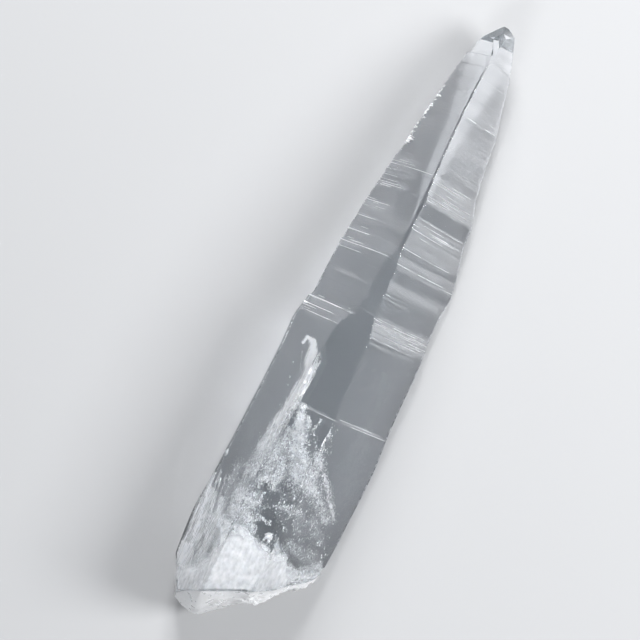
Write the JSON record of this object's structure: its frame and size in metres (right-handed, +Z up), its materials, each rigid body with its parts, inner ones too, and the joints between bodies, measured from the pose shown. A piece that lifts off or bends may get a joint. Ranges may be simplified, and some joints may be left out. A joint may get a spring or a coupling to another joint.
{
  "type": "quartz crystal point",
  "caption": "Long tapering clear quartz crystal point with stepped growth lines across its faces, a small faceted tip and a rough broken base, resting on its broad face.",
  "frame": {"origin": "middle of the crystal's box where it meets the surface it lies on", "axes": "+X along the crystal's axis towards the tip, +Z up from the broad face it lies on, +Y across it towards the left side when looking at the tip from the base"},
  "size_m": [0.178, 0.0398, 0.0288],
  "materials": {
    "quartz": "clear colourless quartz, glossy, with frosted growth lines",
    "veil": "milky white veils and flakes sealed in the lower half"
  },
  "bodies": {
    "root": {"quartz_point": "quartz"}
  },
  "joints": []
}
